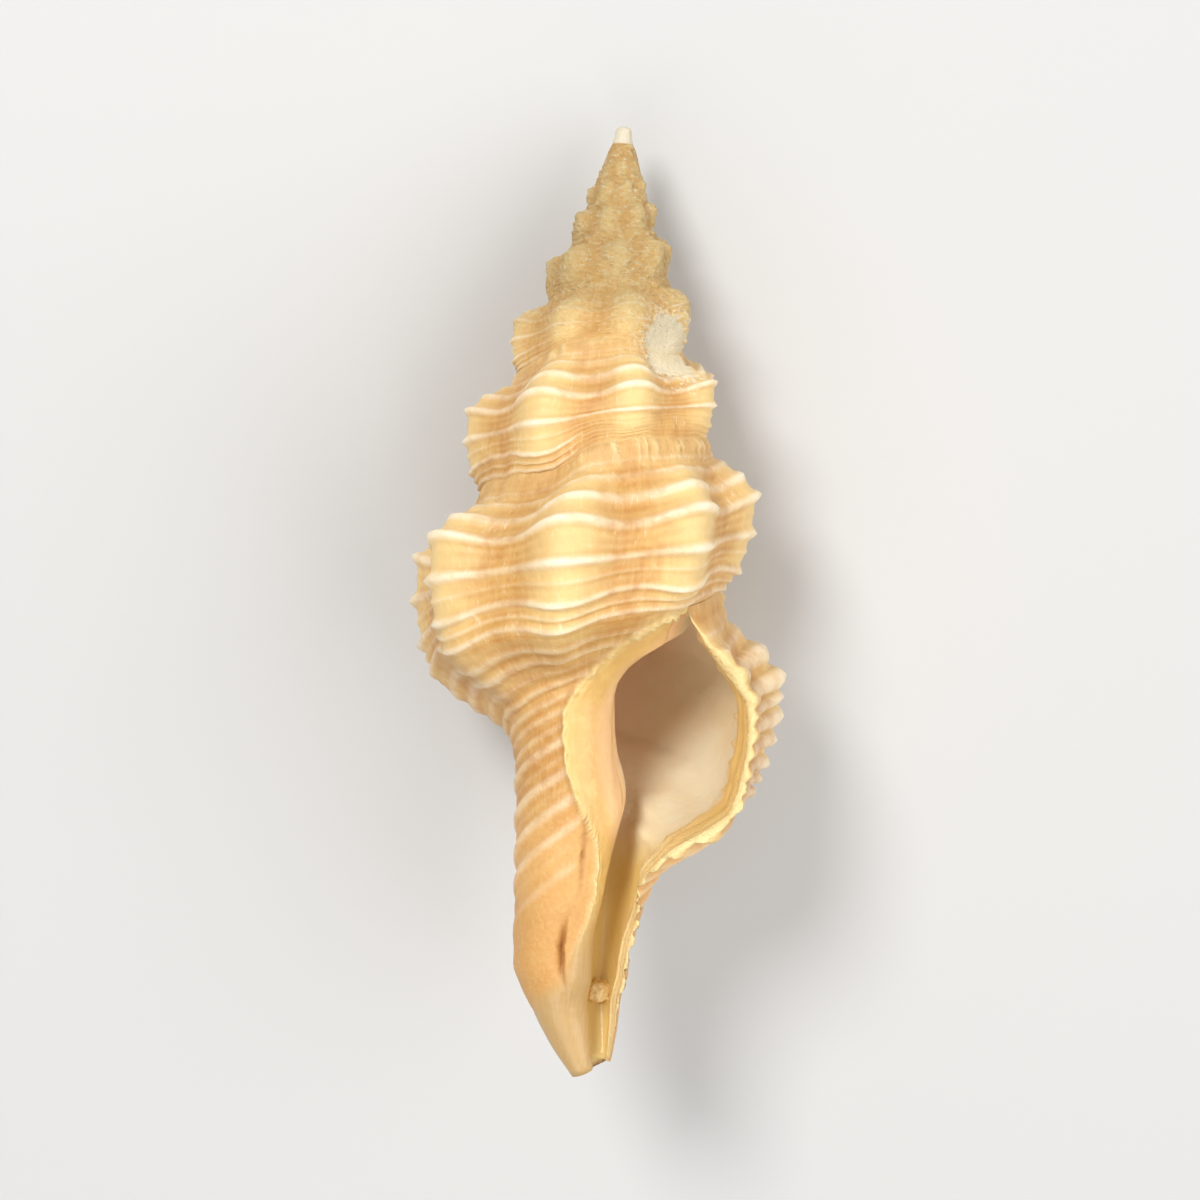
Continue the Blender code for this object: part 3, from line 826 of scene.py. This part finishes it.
class Number:
    """A number that changes over a surface; arithmetic on it adds Math nodes."""

    __add__ = __radd__ = maths("ADD")
    __mul__ = __rmul__ = maths("MULTIPLY")
    __sub__ = maths("SUBTRACT")
    __pow__ = maths("POWER")
    sine = maths("SINE")
    most = maths("MAXIMUM")

    def __init__(self, graph, socket):
        self.graph = graph
        self.socket = socket

    def __rsub__(self, other):
        return self.graph.number("Math", {"operation": "SUBTRACT"}, {0: other, 1: self})

    def between(self, start, end):
        """0 where the number is at start, 1 where it is at end, and smooth between."""
        settings = {"interpolation_type": "SMOOTHSTEP"}
        return self.graph.number("MapRange", settings, {0: self, 1: start, 2: end, 3: 0.0, 4: 1.0})


class Graph:
    """The nodes of one material around its Principled shader."""

    def __init__(self, name, settings):
        self.settings = settings
        self.material = bpy.data.materials.new(name)
        self.material.use_nodes = True
        self.tree = self.material.node_tree
        self.shader = self.tree.nodes["Principled BSDF"]

    def node(self, kind, settings, values):
        made = self.tree.nodes.new("ShaderNode" + kind)
        for label, value in settings.items():
            setattr(made, label, value)
        for label, value in values.items():
            socket = made.inputs[label]
            if isinstance(label, str):
                socket = next(s for s in made.inputs if s.name == label and s.enabled)
            self.feed(socket, value)
        return made

    def feed(self, socket, value):
        """Give a socket a number, a link, or a colour from the settings by its name."""
        if isinstance(value, Number):
            value = value.socket
        if isinstance(value, str):
            value = getattr(self.settings, value + "_colour")
        if isinstance(value, bpy.types.NodeSocket):
            self.tree.links.new(value, socket)
        elif socket.type == "RGBA":
            socket.default_value = (*value, 1)
        else:
            socket.default_value = value

    def number(self, kind, settings, values):
        made = self.node(kind, settings, values)
        return Number(self, next(s for s in made.outputs if s.enabled))

    def painted(self, name):
        return Number(self, self.node("Attribute", {"attribute_name": name}, {}).outputs["Fac"])

    def grown(self):
        """Where a point lies in the shell's own frame, in millimetres."""
        return self.node("Attribute", {"attribute_name": "grown"}, {}).outputs["Vector"]

    def vector(self, operation, *values):
        """Vector maths, whose answer is a vector."""
        return self.node("VectorMath", {"operation": operation}, dict(enumerate(values))).outputs[0]

    def noise(self, vector, scale, detail=3.0, roughness=0.55):
        values = {"Vector": vector, "Scale": scale, "Detail": detail, "Roughness": roughness}
        return Number(self, self.node("TexNoise", {}, values).outputs["Fac"])

    def mix(self, share, a, b):
        values = {"Factor": share, "A": a, "B": b}
        return self.node("Mix", {"data_type": "RGBA"}, values).outputs[2]

    def finish(self, **surface):
        """Set or link the shader's inputs, which are given by their names in small letters."""
        for label, value in surface.items():
            self.feed(self.shader.inputs[label.replace("_", " ").title().replace("Ior", "IOR")], value)
        return self.material


class Paint:
    """A colour in layers, each over the ones before."""

    def __init__(self, graph, colour):
        self.graph = graph
        self.colour = colour

    def over(self, share, colour):
        self.colour = self.graph.mix(share, self.colour, colour)


def growth_lines(graph, grown, depth, drift, scale, detail):
    """Noise in lines along the growth: it goes by the way from the coiling axis, and drifts with depth."""
    way = graph.vector("NORMALIZE", graph.vector("MULTIPLY", grown, (1, 0, 1)))
    lift = graph.node("CombineXYZ", {}, {"Y": depth * drift}).outputs[0]
    return graph.noise(graph.vector("ADD", way, lift), scale, detail, 0.6)


def shell_material(settings):
    """The shell's colours in layers, its gloss, and its grain as a bump."""
    graph = Graph("glossy_shell", settings)
    grown = graph.grown()
    parts = graph.node("SeparateXYZ", {}, {"Vector": grown})
    depth = Number(graph, parts.outputs["Y"]) * -1.0
    masks = [graph.painted(name) for name in Surface.MASKS]
    cord, rib, enamel, chamber, frill, winding, crease, inner = masks

    clouds = graph.noise(grown, 0.25, 2.0)
    blotches = graph.noise(grown, 0.9, 3.0)
    grain = graph.noise(grown, 3.6, 4.0, 0.65)
    crumbs = graph.noise(graph.vector("MULTIPLY", grown, (1, 1.6, 1)), 3.0, 4.0, 0.72)
    lines = growth_lines(graph, grown, depth, 0.02, 24, 3)
    fine_lines = growth_lines(graph, grown, depth, 0.02, 85, 2)
    dashes = growth_lines(graph, grown, depth, 0.035, 44, 2)
    dashes = dashes.between(0.56, 0.76) * blotches.between(0.42, 0.6)
    apart = graph.node("VectorMath", {"operation": "DISTANCE"}, {0: grown, 1: WORN_AT})
    apart = Number(graph, apart.outputs["Value"]) + (graph.noise(grown, 1.3, 4.0, 0.7) - 0.5) * 2.4
    scattered = apart.between(3.3, 2.2) * crumbs.between(0.5, 0.58) * 0.85
    worn = apart.between(2.1, 1.75).most(scattered)
    neck = depth.between(38, 43)
    spire = depth.between(15, 8.5)
    nub = depth.between(1.12, 0.98)
    whole = (1 - worn) * (1 - neck * 0.85)
    plain = (1 - cord) * (1 - enamel) * whole * (1 - spire * 0.8)
    threads = (winding * (2 * math.pi / THREAD_SPACING) + blotches * 2.0).sine() * 0.5 + 0.5
    threads = threads * plain * (0.35 + 0.65 * clouds.between(0.3, 0.6)) * winding.between(1.75, 1.4)
    threads = threads * frill.between(0.25, 0.08)

    outside = Paint(graph, "valley")
    outside.over(blotches.between(0.35, 0.65), "body")
    outside.over(neck * 0.8, "neck")
    outside.over(spire * (0.6 + 0.3 * rib), "spire")
    outside.over(lines.between(0.45, 0.7) * 0.25 * whole, "rib")
    outside.over(depth.between(43.5, 47) * 0.35, "valley")
    # Painted shade: the valley colour laid in the recess just below each suture; between the ribs it is partly
    # the shell's own darker orange, in patches, and partly painted shade.
    painted_shade_below_suture = winding.between(0.24, 0.05) * 0.8
    tone_and_shade_between_ribs = (1 - rib) ** 2 * (1 - cord) * (1 - neck) * clouds.between(0.25, 0.45)
    outside.over(tone_and_shade_between_ribs.most(painted_shade_below_suture) * (1 - spire * 0.75) * 0.45, "valley")
    outside.over(rib * 0.8, "rib")
    outside.over(threads * 0.25, "rib")
    crest = cord.between(0.15, 1.0) * (0.32 + 0.5 * rib.most(neck * 0.15))
    outside.over(crest * (0.6 + 0.6 * blotches.between(0.3, 0.6)), "cord")
    outside.over(dashes * 0.4 * whole * (1 - spire), "cord")
    outside.over(grain.between(0.62, 0.8) * (0.15 + 0.15 * spire), "speck")
    outside.over(crumbs.between(0.5, 0.68) * spire * 0.8, "crumb")
    outside.over(crumbs.between(0.45, 0.33) * spire * 0.3, "speck")
    mottle = neck * (1 - enamel)
    outside.over(grain.between(0.4, 0.75) * mottle * 0.2, "rib")
    outside.over(worn * 0.93, "worn")
    outside.over(nub * 0.95, "nub")

    hollow = Paint(graph, "inside")
    hollow.over(clouds.between(0.4, 0.65) * 0.25, "lip")
    # Painted shade: the browner deep colour on the chamber's far wall, where it lies in shade.
    hollow.over(winding * 0.85, "deep")
    tip = graph.mix(lines.between(0.35, 0.65) * 0.09, "tip", "frill")
    inside = Paint(graph, "lip")
    inside.over((inner + (blotches - 0.5) * 0.5).between(0.2, 0.6), "callus")
    stained = inner.between(0.03, 0.16) * inner.between(0.62, 0.3) * winding.between(0.9, 1.1)
    inside.over(stained * blotches.between(0.3, 0.55) * 0.55, "body")
    inside.over(chamber.between(0.05, 0.5), hollow.colour)
    inside.over(depth.between(40.5, 44) * chamber, "canal")
    inside.over(depth.between(44, 50) * (1 - chamber), tip)
    outside.over(enamel, inside.colour)
    outside.over(frill * 0.75, "frill")
    # Painted shade: the crease colour, a deep brown, laid into the crease and the chink beside the callus.
    outside.over(crease * 0.8, "crease")

    rough = 0.44 + grain * 0.14 - cord * 0.16 - enamel * 0.2 + worn * 0.3 + spire * 0.12
    height = lines * 0.3 * whole + fine_lines * 0.1 * whole + threads * 0.3 + grain * 0.35
    height = (height + dashes * 0.15 * whole + mottle * grain * 0.35) * (1 - enamel)
    height = height + (worn * 1.3 + spire * (1 - nub) * 2.8) * (crumbs - 0.5) * 1.8
    height = height + enamel * blotches * 0.8 + frill * grain * 1.3
    bump = graph.node("Bump", {}, {"Strength": 1.0, "Distance": 0.00011, "Height": height})
    graph.finish(ior=1.52, subsurface_weight=0.06, subsurface_scale=0.0012)
    return graph.finish(base_color=outside.colour, roughness=rough, normal=bump.outputs["Normal"])


def nodule_material(settings):
    """The amber of the growth, with paler lumps."""
    graph = Graph("amber_growth", settings)
    place = graph.node("TexCoord", {}, {}).outputs["Object"]
    lumps = graph.noise(place, 1800.0, 3.0)
    colour = graph.mix(lumps.between(0.35, 0.65), "nodule", "frill")
    bump = graph.node("Bump", {}, {"Strength": 0.5, "Distance": 0.00008, "Height": lumps})
    rough = 0.2 + lumps * 0.2
    return graph.finish(ior=1.5, base_color=colour, roughness=rough, normal=bump.outputs["Normal"])


def floor_material(settings):
    """The plain floor, very faintly clouded."""
    graph = Graph("pale_floor", settings)
    place = graph.node("TexCoord", {}, {}).outputs["Object"]
    cloud = graph.noise(place, 6.0, 2.0)
    colour = graph.mix(cloud * 0.3, "floor", [c * 0.97 for c in settings.floor_colour])
    return graph.finish(base_color=colour, roughness=0.75 + cloud * 0.1)


def camera_axes():
    """The photograph's right, up and towards-the-camera directions, with the shell at rest on the floor."""
    rest = rest_matrix().to_3x3().normalized()
    lean = math.radians(APEX_LEAN)
    right = rest @ Vector((math.cos(lean), math.sin(lean), 0))
    up = rest @ Vector((-math.sin(lean), math.cos(lean), 0))
    return right, up, right.cross(up)


def new_object(name, data):
    """An object in the scene with its data."""
    made = bpy.data.objects.new(name, data)
    bpy.context.scene.collection.objects.link(made)
    return made


class ShellSettings(bpy.types.PropertyGroup):
    """Colours and sizes that a user would change."""

    def colour(name, description, *screen):
        return bpy.props.FloatVectorProperty(
            name=name, description=description, default=rgb(*screen), min=0, max=1, subtype="COLOR", size=3
        )

    body_colour: colour("Body", "Lighter parts of the shell between its ribs", 216, 168, 94)
    # Valleys: the shell's own darker orange, which is also laid as painted shade just below the sutures and,
    # in part, between the ribs.
    valley_colour: colour("Valleys", "Darker parts of the shell between its ribs", 198, 140, 70)
    neck_colour: colour("Neck", "The narrow part round the canal", 226, 172, 102)
    spire_colour: colour("Spire", "The oldest and dullest whorls", 255, 210, 134)
    crumb_colour: colour("Crumbs", "Pale grains on the oldest whorls", 253, 236, 192)
    nub_colour: colour("Nub", "The smooth first whorl", 224, 214, 190)
    rib_colour: colour("Ribs", "Crests of the ribs and pale growth lines", 242, 210, 144)
    cord_colour: colour("Cords", "Tops of the cords that wind round the shell", 252, 236, 206)
    speck_colour: colour("Specks", "Small darker grains", 188, 130, 68)
    worn_colour: colour("Worn", "The chalky patch on the spire", 255, 240, 206)
    frill_colour: colour("Frill", "Edge of the callus, the lip, and the crust on the sutures", 252, 226, 164)
    callus_colour: colour("Callus", "The enamel beside the mouth", 244, 202, 150)
    lip_colour: colour("Lip", "Yellower enamel along the lip and the callus", 230, 192, 118)
    inside_colour: colour("Inside", "The chamber behind the mouth", 243, 230, 198)
    # Deep: painted shade, a browner tone laid on the chamber's far wall where it lies in shade.
    deep_colour: colour("Deep", "The chamber's far wall", 232, 180, 142)
    canal_colour: colour("Canal", "The inside of the canal", 226, 194, 120)
    tip_colour: colour("Tip", "The smooth enamel at the canal's end", 198, 160, 104)
    # Crease: painted shade, a deep brown laid into the crease and the chink beside the callus where they lie
    # in shade.
    crease_colour: colour("Crease", "The narrow crease beside the callus", 150, 84, 34)
    nodule_colour: colour("Growth", "The small growth in the canal", 226, 182, 108)
    floor_colour: colour("Floor", "The plain floor of the studio", 206, 205, 203)
    cord_height: bpy.props.FloatProperty(
        name="Cord height", description="Height beside the photographed cords", default=1, min=0, max=1.3
    )
    callus_thickness: bpy.props.FloatProperty(
        name="Callus", description="Thickness of the callus", default=0.00018, min=0, unit="LENGTH"
    )
    nodule_size: bpy.props.FloatProperty(
        name="Growth", description="Width of the growth", default=0.00145, min=0.0005, unit="LENGTH"
    )
    key_power: bpy.props.FloatProperty(
        name="Key light", description="Power of the main light", default=1.52, min=0, unit="POWER"
    )


class GrowShell(bpy.types.Operator):
    """Grow the shell's surface over the solid, with its ribs, cords, callus and mouth"""

    bl_idname = "beckyae.grow_shell"
    bl_label = "Grow Shell"

    def execute(self, context):
        shell = new_object("shell_surface", shell_mesh(context.scene.beckyae))
        shell.data.materials.append(shell_material(context.scene.beckyae))
        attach(shell, "root")
        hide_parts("shell")
        return {"FINISHED"}


class GrowNodule(bpy.types.Operator):
    """Set the small amber growth on the wall of the canal"""

    bl_idname = "beckyae.grow_nodule"
    bl_label = "Grow Nodule"

    def execute(self, context):
        settings = context.scene.beckyae
        shell = bpy.data.objects.get("shell_surface")
        if shell is None:
            raise RuntimeError("the growth needs the shell's surface to sit on")
        rest = rest_matrix()
        towards = camera_axes()[2]
        start = rest @ Vector(NODULE_AT) + towards * 0.02
        hit, seat, normal, _ = shell.ray_cast(start, -towards)
        if not hit:
            raise RuntimeError("no wall behind the growth")
        mesh = bpy.data.meshes.new("canal_growth")
        work = bmesh.new()
        bmesh.ops.create_icosphere(work, subdivisions=5, radius=settings.nodule_size / 2)
        for vert in work.verts:
            point = vert.co / settings.nodule_size
            broad = noise.noise(point * 2.0 + Vector((4, 1, 7))) * 0.2
            vert.co *= 1 + noise.fractal(point * 3.1, 0.8, 2.2, 3) * 0.16 + broad
            vert.co.z *= 0.8
        work.to_mesh(mesh)
        work.free()
        mesh.shade_smooth()
        growth = new_object("canal_growth", mesh)
        turn = normal.to_track_quat("Z", "Y").to_matrix().to_4x4()
        mesh.transform(Matrix.Translation(seat + normal * settings.nodule_size * 0.14) @ turn)
        mesh.materials.append(nodule_material(settings))
        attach(growth, "root")
        return {"FINISHED"}


class SetStage(bpy.types.Operator):
    """Lay the pale floor, hang the soft lights and set the camera where the photograph was taken"""

    bl_idname = "beckyae.set_stage"
    bl_label = "Set Stage"

    def execute(self, context):
        settings = context.scene.beckyae
        bpy.ops.mesh.primitive_plane_add(size=FLOOR_SIZE)
        floor = context.object
        floor.name = "floor"
        floor.data.materials.append(floor_material(settings))

        right, up, towards = camera_axes()
        target = rest_matrix() @ Vector(VIEW_CENTRE)
        camera = new_object("camera", bpy.data.cameras.new("camera"))
        camera.data.lens = LENS
        camera.data.sensor_width = SENSOR
        camera.data.clip_start = 0.01
        turned = Matrix((right, up, towards)).transposed().to_4x4()
        camera.matrix_world = Matrix.Translation(target + towards * VIEW_DISTANCE * MILLIMETRE) @ turned
        context.scene.camera = camera

        for name, power, size, way in LIGHTS:
            lamp = bpy.data.lights.new(name, "AREA")
            lamp.energy = power * settings.key_power
            lamp.shape = "DISK"
            lamp.size = size
            light = new_object(name, lamp)
            direction = (right * way[0] + up * way[1] + towards * way[2]).normalized()
            light.location = target + direction * LIGHT_DISTANCE
            light.rotation_euler = direction.to_track_quat("Z", "Y").to_euler()
        world = bpy.data.worlds.new("studio")
        world.use_nodes = True
        background = world.node_tree.nodes["Background"]
        background.inputs["Color"].default_value = (1, 1, 1, 1)
        background.inputs["Strength"].default_value = WORLD_LIGHT
        context.scene.world = world
        context.scene.view_settings.view_transform = "Standard"
        return {"FINISHED"}


class ShellPanel(bpy.types.Panel):
    """Panel in the sidebar with the steps and their settings"""

    bl_idname = "VIEW3D_PT_beckyae"
    bl_label = "Beckyae Shell"
    bl_space_type = "VIEW_3D"
    bl_region_type = "UI"
    bl_category = "Shell"

    def draw(self, context):
        for operator in OPERATORS:
            self.layout.operator(operator.bl_idname)
        for name in ShellSettings.__annotations__:
            self.layout.prop(context.scene.beckyae, name)


OPERATORS = (GrowShell, GrowNodule, SetStage)
CLASSES = (ShellSettings, *OPERATORS, ShellPanel)


def register():
    for made in CLASSES:
        bpy.utils.register_class(made)
    bpy.types.Scene.beckyae = bpy.props.PointerProperty(type=ShellSettings)


def unregister():
    del bpy.types.Scene.beckyae
    for made in reversed(CLASSES):
        bpy.utils.unregister_class(made)


def main():
    register()
    bpy.ops.beckyae.grow_shell()
    bpy.ops.beckyae.grow_nodule()
    bpy.ops.beckyae.set_stage()


if __name__ == "__main__":
    main()
